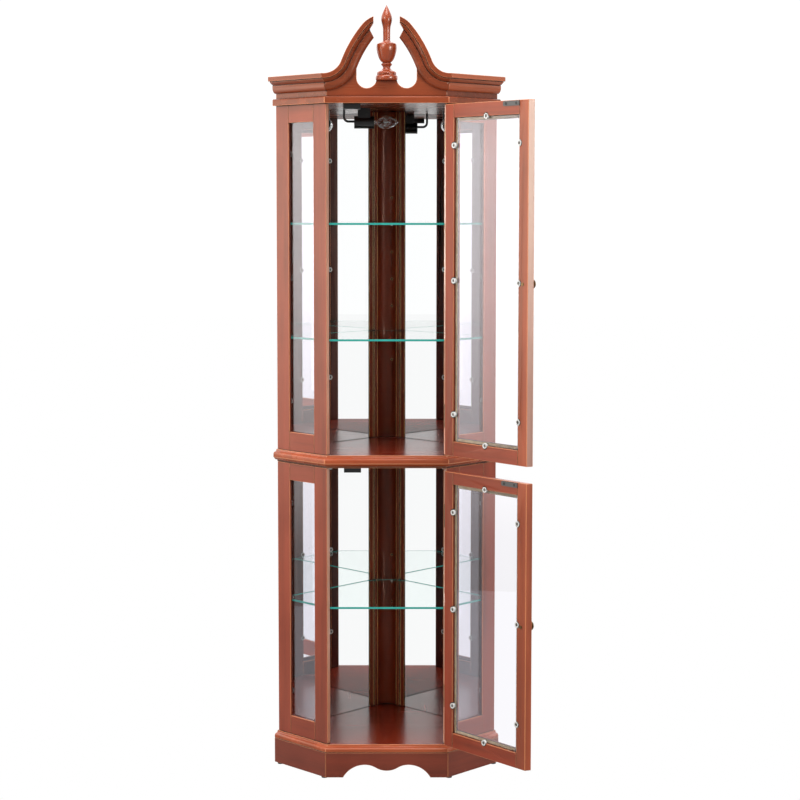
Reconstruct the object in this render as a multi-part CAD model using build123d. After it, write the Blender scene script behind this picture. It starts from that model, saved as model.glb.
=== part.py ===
from build123d import *
import os
from math import cos, radians, sin, sqrt, tan

# Corner curio cabinet, in millimetres, +Z up, front towards -Y.
# The origin is on the floor at the rear corner glide, on the plane of symmetry.
# Both doors stand open: their joint angle 0 is that pose.

# Plan of the case
depth = 421.0               # plinth face to the room corner
front_half = 147.2          # half the width across the front, at the case faces
cap_overhang = 12.0         # base and waist mouldings beyond the case faces
rear_glide_inset = 13.0     # room corner to the centre of the rear glide

# Heights of the stacked pieces
glide_thick = 3.0
plinth_height = 62.7
base_deck_thick = 18.3
lower_bay = 692.0
bay_top_thick = 5.0
waist_thick = 26.7
upper_bay = 859.3
top_deck_thick = 16.6
neck_height = 13.4
crown_height = 40.6

# Boards, glass and mirrors
plinth_thick = 16.0
side_thick = 16.0
door_thick = 15.0
frieze_thick = 14.0
back_board_thick = 3.0
mirror_thick = 3.0
pane_thick = 3.0
shelf_thick = 5.0
mirror_gap = 0.5            # mirror edge to the side frame
back_board_inset = 6.0      # back board's edge in from the side's outer face
bay_top_setback = 1.0

# Frames round the glass
side_stile = 46.0
side_rails = {"lower": (47.0, 43.0), "upper": (47.0, 43.0)}     # bottom and top
door_stile = 44.5
door_rails = {"lower": (46.0, 39.0), "upper": (45.0, 42.0)}
rebate_width = 9.0
rebate_depth = 9.0
pane_gap = 1.0              # round a pane in its rebate

# Clips that hold the panes
clip_radius = 6.6
clip_proud = 1.0
clip_notch_gap = 1.4
side_clip_spacing = {"lower": 240.0, "upper": 308.0}
door_clip_spacing = {"lower": 240.0, "upper": 325.0}

# Glides and apron
glide_radius = 8.0
glide_edge = 0.6            # glide edge to the outer face of the plinth
front_glide_run = 12.0      # front corner to the glide, along the side board
side_glide_run = 14.0       # wall line to the glide, along the side board
apron_half = 108.5
apron_peak_x = 54.0
apron_peak = 32.0
apron_drop = 17.0

# Rear corner post
post_half = 47.3
post_edge = 0.8
post_lip = 2.0
post_slope = 0.52
post_groove = (33.0, 36.0)
post_groove_depth = 2.0
post_cove_half = 24.4
post_cove_step = 2.5
post_cove_sagitta = 19.0

# Shelves and their pins
shelf_heights = {"lower": ("lower", 337.2), "middle": ("upper", 279.9), "top": ("upper", 564.9)}
shelf_gap = 2.0             # shelf edge to frames, mirrors and post
shelf_door_gap = 3.0
shelf_rear_radius = 82.5
pin_radius = 2.5
pin_reach = 8.0
pin_gap = 0.2
pin_hole_gap = 0.05
pin_hole_depth = 8.0
pin_insets = (22.0, 17.1)   # ends of the side frame to its pins
post_pin_x = 13.0
post_pin_depth = 3.5
pin_hole_pitch = 71.25
pin_hole_steps = {"lower": (-1, 0, 1), "middle": (-1, 0, 1, 2, 3), "top": (0, 1)}

# Top mouldings and pediment
top_overhang = 9.0
top_round = 4.0
neck_setback = 3.0
crown_overhang = 23.5
crown_fascia = 11.0
crown_marks = ((0.5, 0.0), (9.0, 13.5), (9.0, 19.2), (7.6, 20.4), (10.0, 21.6), (18.0, 27.6), (17.2, 29.6))
gable_lead = 4.5
frieze_rise = 46.4

# Pediment, as shares of half the front width
gable_arcs = ((0.3125, -69.0), (2.0856, 18.5), (0.4688, 35.0))
tip_marks = ((0.214, 0.0), (0.214, 0.1155), (0.2726, 0.2105), (0.2726, 0.2275), (0.2106, 0.3431))
board_tuck = 0.02           # pediment board below the moulding's top line
eye_x = 0.3281
eye_rise = 0.3016
eye_radius = 0.1664
pillar_half_share = 0.1678
pillar_rise_share = 0.2554

# Finial, heights above the block and radii at the turning marks
block_radius = 27.2
block_height = 14.0
block_round = 5.5
finial_foot = (23.4, 6.0)
finial_foot_top = (19.5, 9.1)
finial_spool = (12.8, 11.6)
finial_waist = (9.3, 17.8)
finial_ring = (13.6, 24.5)
finial_ring_top = (13.0, 26.9)
finial_stem = (9.6, 29.4)
finial_belly = (21.9, 48.7)
finial_wide = (25.0, 66.0)
finial_rim = (24.0, 74.1)
finial_shoulder = (19.0, 77.0)
finial_collar = (11.0, 79.5)
finial_neck = (8.9, 82.5)
finial_neck_top = (9.2, 106.0)
finial_flame = (13.6, 135.0)
finial_point = (6.2, 156.0)
finial_tip = 168.0

# Doors
door_open = 131.0           # how far both doors stand open
door_side_gap = 0.7
door_height_gap = 4.0

# Hinges
leaf_height = 56.0
leaf_thick = 1.2
leaf_width = 14.0
barrel_radius = 3.0
knuckles = 5
knuckle_gap = 0.5
hinge_pin_radius = 1.4
hinge_pin_gap = 0.06
hinge_pin_head = (2.3, 1.0)
pin_offset = 3.7            # pin axis beyond the corner of the case
pin_shift = 1.4             # pin axis from the middle of the gap, towards the side frame
hinge_spacing = {"lower": 226.0, "upper": 333.0}

# Catches, strike plates and knobs
catch_width = 42.0
catch_depth = 20.0
catch_height = 13.0
catch_inset = 62.7          # front corner to the middle of a catch
catch_gap = 0.7
strike_width = 54.0
strike_height = 11.3
strike_corner = 3.5
strike_thick = 1.2
strike_edge = 1.5
strike_screw_half = 22.5
strike_screw = (2.8, 0.4)
knob_radius = 12.0
knob_reach = 22.0
knob_neck = 5.0
knob_foot = 8.0
knob_foot_thick = 3.0
knob_screw = (4.0, 1.2)

# Lamp
lamp_from_corner = 170.0    # room corner to the bulb's axis
lamp_drop = 35.0
socket_left = -83.0
socket_length = 50.0
socket_radius = 16.0
socket_bore_depth = 20.0
socket_bore_gap = 0.2
socket_foot = (32.0, 24.0)
bulb_base_radius = 6.5
bulb_neck_radius = 8.0
bulb_radius = 17.6
bulb_length = 63.0
bulb_wide = 24.0
lead_radius = 3.0
lead_rise = 2.0             # lead above the socket's axis
lead_run = 26.0
lead_bend = 11.5

# Levels
z_plinth = glide_thick
z_base = z_plinth + plinth_height
z_lower = z_base + base_deck_thick
z_bay_top = z_lower + lower_bay
z_waist = z_bay_top + bay_top_thick
z_upper = z_waist + waist_thick
z_top = z_upper + upper_bay
z_neck = z_top + top_deck_thick
z_crown = z_neck + neck_height
z_crown_top = z_crown + crown_height
bays = {"lower": (z_lower, z_bay_top), "upper": (z_upper, z_top)}

# Lines of the plan: walls lie on |x| + y, sides on |x| - y
root2 = sqrt(2)
mitre = tan(radians(22.5))
mitre_sin = sin(radians(22.5))
mitre_cos = cos(radians(22.5))
wall_line = rear_glide_inset
front_y = wall_line - depth + cap_overhang
side_line = front_half - front_y
board_line = wall_line - back_board_thick * root2
mirror_line = board_line - mirror_thick * root2
inner_side_line = side_line - side_thick * root2
board_side_line = side_line - back_board_inset * root2
side_length = (board_line - front_half - front_y) / root2
post_y = mirror_line - post_half
glass_depth = rebate_depth - pane_thick

# Working planes: outer face of the right side, closed doors, right mitre
side_plane = Plane(origin=(front_half, front_y, 0), x_dir=(1, 1, 0), z_dir=(1, -1, 0))
door_plane = Plane(origin=(0, front_y, 0), x_dir=(1, 0, 0), z_dir=(0, -1, 0))
mitre_plane = Plane(
    origin=(front_half, front_y, 0), x_dir=(-mitre_sin, mitre_cos, 0), z_dir=(0, 0, 1)
)
mitre_cut = Plane(origin=(front_half, front_y, 0), z_dir=(mitre_cos, mitre_sin, 0))

catch_x = catch_inset - front_half
pin_runs = (pin_insets[0], side_length - pin_insets[1])
pillar_half = pillar_half_share * front_half
pillar_rise = pillar_rise_share * front_half

# Hinge line of both doors
leaf_gap = door_side_gap * mitre_cos
pin_side = leaf_gap / 2 - pin_shift
hinge_x = front_half + pin_offset * mitre_sin - pin_side * mitre_cos
hinge_y = front_y - pin_offset * mitre_cos - pin_side * mitre_sin
hinge_line = Axis((hinge_x, hinge_y, 0), (0, 0, 1))


def crossing(wall, side):
    """Plan point where a wall line meets a side line, on the right."""
    return ((wall + side) / 2, (wall - side) / 2)


def prism(points, low, high):
    """Upright solid on a plan outline."""
    face = Polygon(*points, align=None)
    return Pos(0, 0, low) * extrude(face, high - low, dir=(0, 0, 1))


def block(plane, x_span, y_span, z_span):
    """Box between three spans of a plane's own coordinates."""
    spans = (x_span, y_span, z_span)
    size = [high - low for low, high in spans]
    centre = [(low + high) / 2 for low, high in spans]
    return plane * (Pos(*centre) * Box(*size))


def rod(plane, x, y, z_span, radius):
    """Cylinder standing on a plane between two of its heights."""
    low, high = z_span
    return plane * (Pos(x, y, (low + high) / 2) * Cylinder(radius, high - low))


def flip(shape):
    """The same piece on the other side of the plane of symmetry."""
    return mirror(shape, about=Plane.YZ)


def group(pieces):
    """Separate solids kept in one node."""
    return Compound([solid for piece in pieces for solid in piece.solids()])


def case_plan(overhang):
    """Outline of the case with its front and sides moved out by an overhang."""
    y = front_y - overhang
    side = side_line + overhang * root2
    outer = crossing(wall_line, side)
    return [(-side - y, y), (side + y, y), outer, (0, wall_line), (-outer[0], outer[1])]


def wall_panel(near_wall, far_wall, side, low, high):
    """Flat panel along the right wall, mitred at the room corner."""
    outer = crossing(far_wall, side)
    inner = crossing(near_wall, side)
    return prism([(0, far_wall), outer, inner, (0, near_wall)], low, high)


def board_rebate(low, high):
    """Room for both back boards in a deck."""
    panel = wall_panel(board_line, wall_line + back_board_thick, board_side_line, low, high)
    return panel + flip(panel)


def moulded_edge(section, low):
    """Moulding along both sides and the front, mitred at the front corners."""
    start = crossing(wall_line, side_line)
    at_start = Plane(origin=(*start, low), x_dir=(1, -1, 0), z_dir=(-1, -1, 0))
    path = Polyline(
        (*start, low),
        (front_half, front_y, low),
        (-front_half, front_y, low),
        (-start[0], start[1], low),
    )
    return sweep(at_start * section, path=path, transition=Transition.RIGHT)


def make_deck(section, low, thick):
    """Board with a moulded edge, rebated at the back for the wall boards."""
    core = prism(case_plan(0), low, low + thick) - board_rebate(low, low + thick)
    return core + moulded_edge(section, low)


def cap_section(thick, foot, nose_height):
    """Cap moulding: upright nose, then a round, a hollow and a top fillet."""
    nose = (cap_overhang, nose_height)
    swell_end = (cap_overhang * 0.54, thick - 6.3)
    fillet = (2.0, thick - 1.3)
    rise = Polyline((0, 0), (cap_overhang - foot, 0), (cap_overhang, foot), nose)
    swell = TangentArc(nose, swell_end, tangent=(0, 1))
    hollow = TangentArc(swell_end, fillet, tangent=swell % 1)
    close = Polyline(fillet, (fillet[0], thick), (0, thick), (0, 0))
    return make_face(rise + swell + hollow + close)


def top_section():
    """Square top board with its upper edge rounded."""
    shoulder = (top_overhang, top_deck_thick - top_round)
    crest = (top_overhang - top_round, top_deck_thick)
    rise = Polyline((0, 0), (top_overhang, 0), shoulder)
    round_over = TangentArc(shoulder, crest, tangent=(0, 1))
    close = Polyline(crest, (0, top_deck_thick), (0, 0))
    return make_face(rise + round_over + close)


def crown_section():
    """Crown moulding, its base at 0: ovolo, quirk, sloping fillet and fascia."""
    foot, bead = crown_marks[:2]
    ovolo = TangentArc(bead, foot, tangent=(0, -1))
    fascia_low = crown_height - crown_fascia
    face = [(crown_overhang, fascia_low), (crown_overhang, crown_height)]
    back = [(-neck_setback, crown_height), (-neck_setback, 0)]
    return make_face(ovolo + Polyline(*crown_marks[1:], *face, *back, foot))


def make_plinth():
    """Front apron board, side board and the two rails along the walls."""
    face_line = side_line + cap_overhang * root2
    back_line = face_line - plinth_thick * root2
    face_y = front_y - cap_overhang
    back_y = face_y + plinth_thick
    face_corner = (face_line + face_y, face_y)
    back_corner = (back_line + back_y, back_y)
    outline = [(-face_corner[0], face_y), face_corner, back_corner, (-back_corner[0], back_y)]
    front = prism(outline, z_plinth, z_base)
    peak = (apron_peak_x, apron_peak)
    middle = (apron_peak_x / 2, (apron_peak + apron_drop) / 2)
    outer = TangentArc(peak, (apron_half, 0), tangent=(1, 0))
    inner = TangentArc(peak, middle, tangent=(-1, 0))
    valley = TangentArc(middle, (0, apron_drop), tangent=inner % 1)
    close = Polyline((0, apron_drop), (0, 0), (apron_half, 0))
    apron_plane = Plane(origin=(0, back_y, z_plinth), x_dir=(1, 0, 0), z_dir=(0, -1, 0))
    half_arch = apron_plane * make_face(outer + inner + valley + close)
    arch = extrude(half_arch, plinth_thick, dir=(0, -1, 0))
    front = front - arch - flip(arch)
    side = prism(
        [face_corner, crossing(wall_line, face_line), crossing(wall_line, back_line), back_corner],
        z_plinth,
        z_base,
    )
    rail_line = wall_line - plinth_thick * root2
    rail = wall_panel(rail_line, wall_line, back_line, z_plinth, z_base)
    return front, side, group([rail, flip(rail)])


def make_glides():
    """Round glides under the plinth, one at each corner of the plan."""
    reach = glide_radius + glide_edge
    corner = (front_half + cap_overhang * mitre, front_y - cap_overhang)
    outer = crossing(wall_line, side_line + cap_overhang * root2)
    front_x = corner[0] + (front_glide_run - reach) / root2
    front_glide_y = corner[1] + (front_glide_run + reach) / root2
    side_x = outer[0] - (side_glide_run + reach) / root2
    side_glide_y = outer[1] - (side_glide_run - reach) / root2
    places = [(0, 0)]
    for x, y in ((front_x, front_glide_y), (side_x, side_glide_y)):
        places += [(x, y), (-x, y)]
    return group([rod(Plane.XY, x, y, (0, glide_thick), glide_radius) for x, y in places])


def clip_places(x_span, z_span, spacing):
    """Clip centres on the edge of a rebate: three each side, one top and bottom."""
    x_mid = sum(x_span) / 2
    z_mid = sum(z_span) / 2
    places = [(x, z_mid + step * spacing) for x in x_span for step in (-1, 0, 1)]
    return places + [(x_mid, z) for z in z_span]


def clip_discs(plane, places, thick, radius, proud):
    """Discs from the inner face of the glass to just past the wood."""
    span = (-thick - proud, -thick + glass_depth)
    return [rod(plane, x, z, span, radius) for x, z in places]


def glazing(plane, x_span, z_span, ends, thick, spacing):
    """Pane, clips, rails and the cuts for the stiles round a window."""
    lip = thick - rebate_depth
    pocket_x = (x_span[0] - rebate_width, x_span[1] + rebate_width)
    pocket_z = (z_span[0] - rebate_width, z_span[1] + rebate_width)
    pane_x = (pocket_x[0] + pane_gap, pocket_x[1] - pane_gap)
    pane_z = (pocket_z[0] + pane_gap, pocket_z[1] - pane_gap)
    pane = block(plane, pane_x, pane_z, (-lip - pane_thick, -lip))
    places = clip_places(pocket_x, pocket_z, spacing)
    clips = clip_discs(plane, places, thick, clip_radius, clip_proud)
    notches = clip_discs(plane, places, thick, clip_radius + clip_notch_gap, clip_proud)
    behind = (-thick - clip_proud, -lip)
    stile_cuts = notches + [block(plane, pocket_x, ends, behind)]
    rail_cuts = notches + [block(plane, pocket_x, pocket_z, behind)]
    rails = []
    for span in ((ends[0], z_span[0]), (z_span[1], ends[1])):
        rail = block(plane, x_span, span, (-thick, 0)) + block(plane, pocket_x, span, (-thick, -lip))
        rails.append(cut_all(rail, rail_cuts))
    return pane, clips, rails, stile_cuts


def cut_all(piece, cuts):
    for cut in cuts:
        piece = piece - cut
    return piece


def door_levels(bay):
    low, high = bays[bay]
    return low + door_height_gap, high - door_height_gap


def hinge_levels(bay):
    """Lower and upper ends of both hinges of one door."""
    middle = sum(door_levels(bay)) / 2
    centres = [middle - hinge_spacing[bay], middle + hinge_spacing[bay]]
    return [(centre - leaf_height / 2, centre + leaf_height / 2) for centre in centres]


def leaf_plates(bay, span):
    """Flat parts of the leaves, which also cut their housings in an edge."""
    reach = (-pin_offset, leaf_width)
    return [block(mitre_plane, reach, span, levels) for levels in hinge_levels(bay)]


def make_side_frame(bay):
    """Glazed panel of the right side: stiles, rails, pane and clips."""
    low, high = bays[bay]
    bottom, top = side_rails[bay]
    window_x = (side_stile, side_length - side_stile)
    window_z = (low + bottom, high - top)
    spacing = side_clip_spacing[bay]
    window = glazing(side_plane, window_x, window_z, (low, high), side_thick, spacing)
    pane, clips, rails, cuts = window
    cuts += side_pins(bay, pin_radius + pin_hole_gap)
    front_stile = block(side_plane, (0, side_stile), (low, high), (-side_thick, 0))
    front_stile = split(front_stile, bisect_by=mitre_cut, keep=Keep.TOP)
    rear_stile = block(side_plane, (window_x[1], side_length), (low, high), (-side_thick, 0))
    return {
        "front_stile": cut_all(front_stile, cuts),
        "rear_stile": cut_all(rear_stile, cuts),
        "rails": rails,
        "glass": pane,
        "clips": clips,
    }


def shelf_level(name):
    bay, height = shelf_heights[name]
    return bays[bay][0] + height


def pin_level(name):
    return shelf_level(name) - pin_gap - pin_radius


def side_pins(bay, radius):
    """Pins of the right side frame, or the holes for them."""
    span = (-side_thick - pin_reach, -side_thick + pin_hole_depth)
    names = [name for name, (shelf_bay, _) in shelf_heights.items() if shelf_bay == bay]
    places = [(run, pin_level(name)) for name in names for run in pin_runs]
    return [rod(side_plane, run, z, span, radius) for run, z in places]


def cove_y(x):
    """Surface of the post's hollow at a distance from its middle."""
    radius = (post_cove_half**2 + post_cove_sagitta**2) / (2 * post_cove_sagitta)
    deepest = cove_edge_y() + post_cove_sagitta
    return deepest - radius + sqrt(radius**2 - x**2)


def bead_y(x):
    """Sloping front of the post's beads."""
    return post_y - post_lip + post_slope * (post_half - post_edge - x)


def cove_edge_y():
    return bead_y(post_cove_half) + post_cove_step


def make_post(bay):
    """Moulded corner post in front of the mirrors, with a row of pin holes."""
    inner, outer = post_groove
    edge = post_half - post_edge
    half = [
        (post_half, post_y),
        (edge, bead_y(edge)),
        (outer, bead_y(outer)),
        (outer, bead_y(outer) + post_groove_depth),
        (inner, bead_y(inner) + post_groove_depth),
        (inner, bead_y(inner)),
        (post_cove_half, bead_y(post_cove_half)),
        (post_cove_half, cove_edge_y()),
    ]
    right = Polyline((0, mirror_line), *half)
    left = Polyline((0, mirror_line), *[(-x, y) for x, y in half])
    cove = ThreePointArc(half[-1], (0, cove_y(0)), (-half[-1][0], half[-1][1]))
    low, high = bays[bay]
    post = Pos(0, 0, low) * extrude(make_face(right + cove + left), high - low, dir=(0, 0, 1))
    back = cove_y(post_pin_x) + post_pin_depth
    for name, (shelf_bay, _) in shelf_heights.items():
        if shelf_bay != bay:
            continue
        for step in pin_hole_steps[name]:
            z = pin_level(name) + step * pin_hole_pitch
            hole = Plane(origin=(post_pin_x, back, z), x_dir=(1, 0, 0), z_dir=(0, -1, 0))
            post -= rod(hole, 0, 0, (0, 3 * pin_hole_depth), pin_radius + pin_hole_gap)
    return post


def make_shelf(name):
    """Glass shelf: straight front, sides along the frames, rounded rear corner."""
    side = inner_side_line - shelf_gap * root2
    wall = mirror_line - shelf_gap * root2
    front = front_y + door_thick + shelf_door_gap
    edge = post_half - post_edge
    rear = bead_y(edge) - shelf_gap
    outer = crossing(wall, side)
    half = [(side + front, front), outer, (wall - rear, rear), (edge, rear)]
    right = Polyline((0, front), *half)
    left = Polyline((0, front), *[(-x, y) for x, y in half])
    nose = rear + shelf_rear_radius - sqrt(shelf_rear_radius**2 - edge**2)
    corner = ThreePointArc(half[-1], (0, nose), (-edge, rear))
    face = make_face(right + corner + left)
    return Pos(0, 0, shelf_level(name)) * extrude(face, shelf_thick, dir=(0, 0, 1))


def shelf_nose_y(x):
    edge = post_half - post_edge
    centre = bead_y(edge) - shelf_gap - sqrt(shelf_rear_radius**2 - edge**2)
    return centre + sqrt(shelf_rear_radius**2 - x**2)


def make_shelf_pins():
    """Round pins under each shelf: two in each side frame, one in the post."""
    pins = side_pins("lower", pin_radius) + side_pins("upper", pin_radius)
    pins += [flip(pin) for pin in pins]
    back = cove_y(post_pin_x) + post_pin_depth
    reach = back - shelf_nose_y(post_pin_x) + pin_reach
    for name in shelf_heights:
        hole = Plane(origin=(post_pin_x, back, pin_level(name)), z_dir=(0, -1, 0))
        pins.append(rod(hole, 0, 0, (0, reach), pin_radius))
    return group(pins)


def gable_line(drop):
    """Line of the swan-neck on the right, a distance below its top edge."""
    start = (front_half + crown_overhang, z_crown_top - drop)
    bend = (front_half + crown_overhang * mitre - gable_lead, start[1])
    line = Line(start, bend)
    point, heading = bend, (-1, 0)
    for radius, turn in gable_arcs:
        offset = drop if turn < 0 else -drop
        arc = JernArc(point, heading, radius * front_half + offset, turn)
        point, heading = arc @ 1, arc % 1
        line += arc
    return line


def below_gable(drop):
    """Area of the pediment under a line of the swan-neck."""
    line = gable_line(drop)
    start, end = (line @ 0), (line @ 1)
    close = Polyline((end.X, end.Y), (end.X, z_neck), (start.X, z_neck), (start.X, start.Y))
    return make_face(line.edges() + close.edges())


def make_gable():
    """Swan-neck moulding of the right side, with its shaped end."""
    start = Plane(
        origin=(front_half + crown_overhang, front_y, z_crown),
        x_dir=(0, -1, 0),
        z_dir=(-1, 0, 0),
    )
    path = door_plane * gable_line(0)
    bar = sweep(start * crown_section(), path=path.wire())
    bar = split(bar, bisect_by=mitre_cut, keep=Keep.BOTTOM)
    cutter = door_plane * gable_tip()
    return bar - extrude(cutter, 2 * crown_overhang, dir=(0, -1, 0), both=True)


def gable_tip():
    """What is cut off the end of a swan-neck and of the board behind it."""
    peak = max(vertex.Y for vertex in gable_line(0).vertices())
    outline = [(x * front_half, peak - fall * front_half) for x, fall in tip_marks]
    middle = -outline[0][0]
    above = peak + crown_height
    outline += [(middle, outline[-1][1]), (middle, above), (outline[0][0], above)]
    return Polygon(*outline, align=None)


def make_pediment_board():
    """Board behind the swan-necks, with two round eyes beside a pillar."""
    wide = front_half + crown_overhang
    eye = (eye_x * front_half, z_neck + eye_rise * front_half)
    radius = eye_radius * front_half
    tuck = board_tuck * front_half
    half = below_gable(tuck) - below_gable(crown_height - tuck)
    field = below_gable(crown_height / 2)
    outside = (eye[0] + radius + wide) / 2
    half += field & Pos(outside, z_crown) * Rectangle(2 * (wide - outside), 2 * wide)
    band_middle = Pos((pillar_half + wide) / 2, (z_neck + eye[1]) / 2)
    half += field & band_middle * Rectangle(wide - pillar_half, eye[1] - z_neck)
    half += Pos(pillar_half / 2, z_neck + pillar_rise / 2) * Rectangle(pillar_half, pillar_rise)
    half -= Pos(*eye) * Circle(radius)
    half -= gable_tip()
    right = door_plane * (Pos(0, 0, -neck_setback - frieze_thick) * half)
    right = extrude(right, frieze_thick, dir=(0, -1, 0))
    right = split(right, bisect_by=mitre_cut, keep=Keep.BOTTOM)
    return right + flip(right)


def make_side_top():
    """Frieze board of the right side and the crown moulding on its face."""
    run = (-crown_overhang, (wall_line - front_half - front_y) / root2)
    levels = (z_neck, z_neck + frieze_rise)
    frieze = block(side_plane, run, levels, (-neck_setback - frieze_thick, -neck_setback))
    end = Plane(side_plane.origin, x_dir=(1, -1, 0), z_dir=(-1, -1, 0))
    section = Pos(0, 0, -run[1]) * (Pos(0, z_crown) * crown_section())
    crown = extrude(end * section, run[1] - run[0], dir=(-1, -1, 0))
    return [split(piece, bisect_by=mitre_cut, keep=Keep.TOP) for piece in (frieze, crown)]


def turned(outline):
    """Solid of revolution about +Z from a half section."""
    return revolve(Plane.XZ * make_face(outline), Axis.Z)


def make_finial_block():
    """Round block on the pillar of the pediment."""
    disc = Cylinder(block_radius, block_height)
    disc = fillet(disc.edges().filter_by(GeomType.CIRCLE), block_round)
    middle = front_y + neck_setback + frieze_thick / 2
    return Pos(0, middle, z_neck + pillar_rise + block_height / 2) * disc


def make_finial():
    """Turned urn and flame."""
    upright = (0, 1)
    tip = (0, finial_tip)
    foot = Polyline((0, 0), (finial_foot[0], 0), finial_foot, finial_foot_top, finial_spool)
    curve = Spline(finial_spool, finial_waist, tangents=((-1, 2), upright))
    curve += Spline(finial_waist, finial_ring, tangents=(upright, (1, 1)))
    curve += Polyline(finial_ring, finial_ring_top, finial_stem)
    urn = (finial_stem, finial_belly, finial_wide, finial_rim)
    curve += Spline(*urn, tangents=((1, 0.6), (-0.2, 1)))
    neck = Polyline(finial_rim, finial_shoulder, finial_collar, finial_neck, finial_neck_top)
    flame = Spline(finial_neck_top, finial_flame, finial_point, tip, tangents=(upright, (-1, 2)))
    close = Line(tip, (0, 0))
    middle = front_y + neck_setback + frieze_thick / 2
    rise = z_neck + pillar_rise + block_height
    return Pos(0, middle, rise) * turned(foot + curve + neck + flame + close)


def make_lamp():
    """Socket under the ceiling, its bulb and the captive lead."""
    lamp_y = wall_line - lamp_from_corner
    lamp_z = z_top - lamp_drop
    along = Plane(origin=(socket_left, lamp_y, lamp_z), x_dir=(0, 0, 1), z_dir=(1, 0, 0))
    foot_x = socket_left + socket_length / 2
    half_long = socket_foot[0] / 2
    half_wide = socket_foot[1] / 2
    socket = rod(along, 0, 0, (0, socket_length), socket_radius)
    foot_spans = ((foot_x - half_long, foot_x + half_long), (lamp_y - half_wide, lamp_y + half_wide))
    socket += block(Plane.XY, *foot_spans, (lamp_z, z_top))
    bore = (socket_length - socket_bore_depth, socket_length)
    socket -= rod(along, 0, 0, bore, bulb_base_radius + socket_bore_gap)
    base = socket_bore_gap - socket_bore_depth
    stem = Polyline((0, base), (bulb_base_radius, base), (bulb_base_radius, 0), (bulb_neck_radius, 0))
    wide = (bulb_radius, bulb_wide)
    glass = Spline((bulb_neck_radius, 0), wide, (0, bulb_length), tangents=((0, 1), (-1, 1)))
    close = Line((0, bulb_length), (0, base))
    bulb = along * (Pos(0, 0, socket_length) * turned(stem + glass + close))
    upright = Plane((socket_left, lamp_y, lamp_z + lead_rise), x_dir=(1, 0, 0), z_dir=(0, -1, 0))
    turns = [(0, 0), (-lead_run, 0), (-lead_run, lamp_drop - lead_rise)]
    path = upright * FilletPolyline(*turns, radius=lead_bend)
    start = Plane(origin=upright.origin, z_dir=(-1, 0, 0))
    return socket, bulb, sweep(start * Circle(lead_radius), path=path)


def make_catches():
    """Magnetic catches under the ceiling of each bay."""
    front = front_y + door_thick + strike_thick + catch_gap
    x_span = (catch_x - catch_width / 2, catch_x + catch_width / 2)
    y_span = (front, front + catch_depth)
    tops = [high for low, high in bays.values()]
    return group([block(Plane.XY, x_span, y_span, (top - catch_height, top)) for top in tops])


def knuckle_spans(levels, side):
    """Heights of every second knuckle of a hinge, starting with one side's."""
    low, high = levels
    pitch = (high - low) / knuckles
    room = knuckle_gap / 2
    places = [low + index * pitch for index in range(side, knuckles, 2)]
    return [(place + room, place + pitch - room) for place in places]


def barrel(span, radius):
    return rod(mitre_plane, -pin_offset, pin_side, span, radius)


def make_leaves(bay, side):
    """Both leaves of one door's hinges: side 0 is on the case, side 1 on the door."""
    face = side * leaf_gap
    span = (face, face + leaf_thick) if side else (-leaf_thick, face)
    leaves = []
    for plate, levels in zip(leaf_plates(bay, span), hinge_levels(bay)):
        for low, high in knuckle_spans(levels, 1 - side):
            room = (low - knuckle_gap, high + knuckle_gap)
            plate -= barrel(room, barrel_radius + knuckle_gap)
        for knuckle in knuckle_spans(levels, side):
            plate += barrel(knuckle, barrel_radius)
        low, high = levels
        if side:
            plate -= barrel(levels, hinge_pin_radius + hinge_pin_gap)
        else:
            head_radius, head_height = hinge_pin_head
            room = knuckle_gap / 2
            plate += barrel(levels, hinge_pin_radius)
            plate += barrel((low + room - head_height, low + room), head_radius)
            plate += barrel((high - room, high - room + head_height), head_radius)
        leaves.append(plate)
    return leaves


def make_knob(x, z):
    """Turned knob, its screw through the stile and the screw's head inside."""
    screw_radius, head_height = knob_screw
    shank = screw_radius / 2
    outline = Polyline(
        (0, -door_thick - head_height),
        (screw_radius, -door_thick - head_height),
        (screw_radius, -door_thick),
        (shank, -door_thick),
        (shank, 0),
        (knob_foot, 0),
        (knob_foot, knob_foot_thick),
        (knob_neck, knob_foot_thick),
    )
    widest = (knob_radius, (knob_foot_thick + knob_reach) * 0.58)
    crest = (0, knob_reach)
    head = Spline((knob_neck, knob_foot_thick), widest, crest, tangents=((0, 1), (-1, 0)))
    close = Line(crest, (0, -door_thick - head_height))
    face = Plane(origin=(x, front_y, z), z_dir=(0, -1, 0))
    return face * turned(outline + head + close)


def make_strike(high):
    """Plate on the door's inner face with two screw heads."""
    radius, proud = strike_screw
    middle = high - strike_edge - strike_height / 2
    outline = RectangleRounded(strike_width, strike_height, strike_corner)
    back = -door_thick - strike_thick
    plate = door_plane * (Pos(catch_x, middle, back) * extrude(outline, strike_thick, dir=(0, 0, 1)))
    for offset in (-strike_screw_half, strike_screw_half):
        plate += rod(door_plane, catch_x + offset, middle, (back - proud, back), radius)
    return plate


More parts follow.
